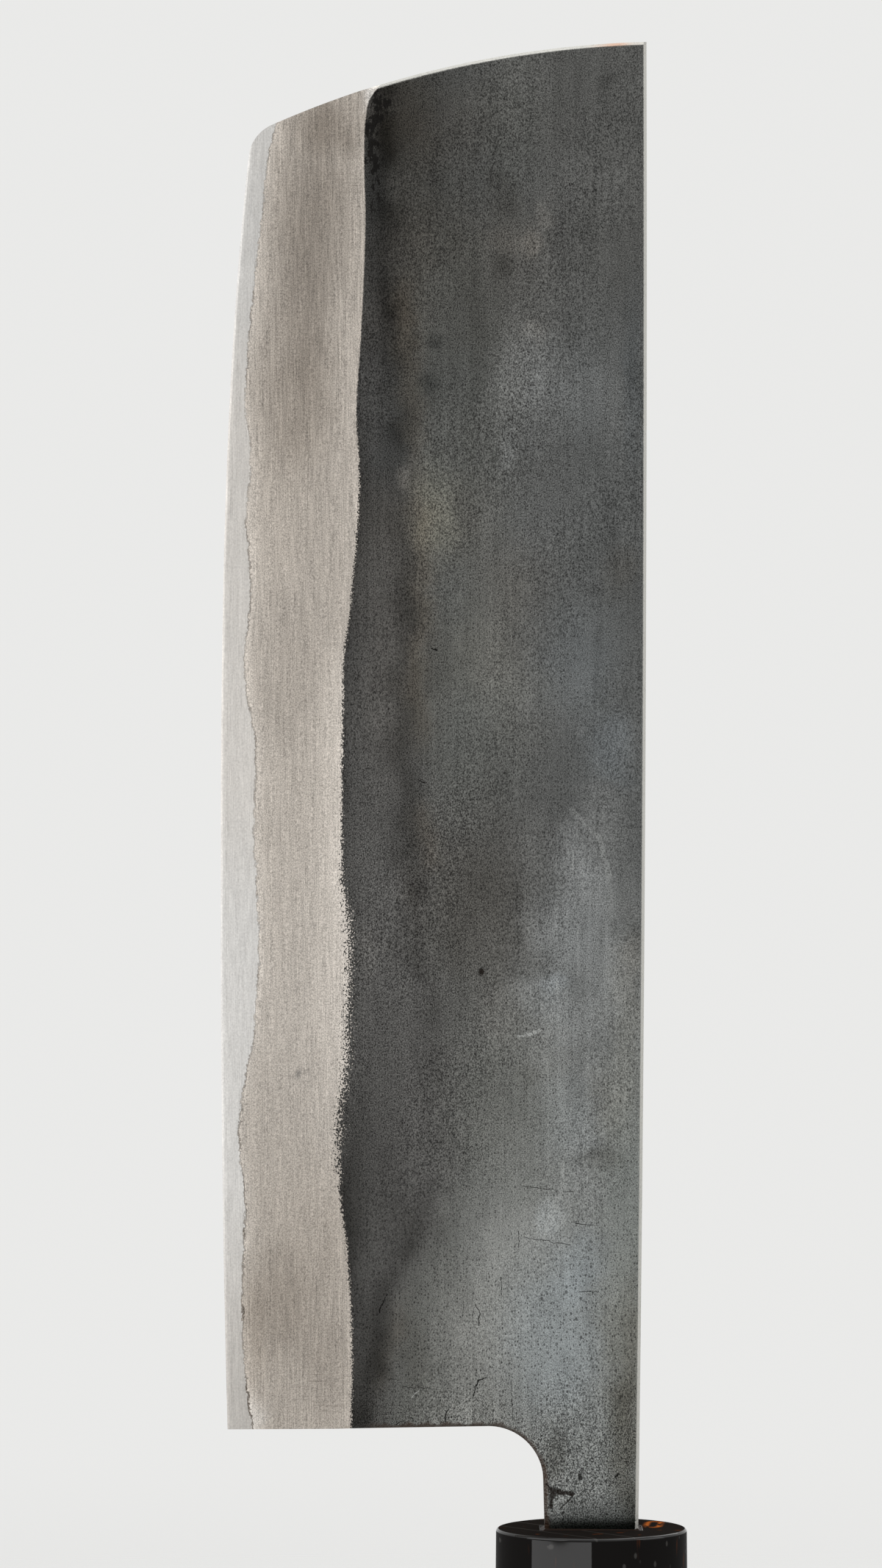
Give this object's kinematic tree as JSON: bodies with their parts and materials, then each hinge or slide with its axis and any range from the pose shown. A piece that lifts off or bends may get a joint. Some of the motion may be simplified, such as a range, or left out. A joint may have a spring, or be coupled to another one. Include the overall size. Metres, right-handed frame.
{
  "type": "nakiri knife",
  "caption": "Vegetable knife: a tall laminated blade with dark forged flats over a bright ground bevel, its hidden tang set in an oval wooden handle with a black horn ferrule.",
  "frame": {"origin": "centre of the handle's flat butt face, on the handle's axis", "axes": "+Z along the handle from butt to nose, +X to the spine with the cutting edge at -X, -Y out of the blade's left side"},
  "size_m": [0.0566, 0.021, 0.3047],
  "materials": {
    "core_steel": "fine brushed",
    "cladding_iron": "dark forge scale, ground bright on the bevel",
    "horn": "polished",
    "handle_wood": "bare, sanded",
    "dowel_wood": "bare",
    "resin": "satin"
  },
  "bodies": {
    "root": {"core_steel": "core_steel", "left_cladding": "cladding_iron", "right_cladding": "cladding_iron", "horn_ferrule": "horn", "wood_handle": "handle_wood", "tang_dowel": "dowel_wood", "tang_bedding": "resin", "mouth_seal": "resin"}
  },
  "joints": []
}
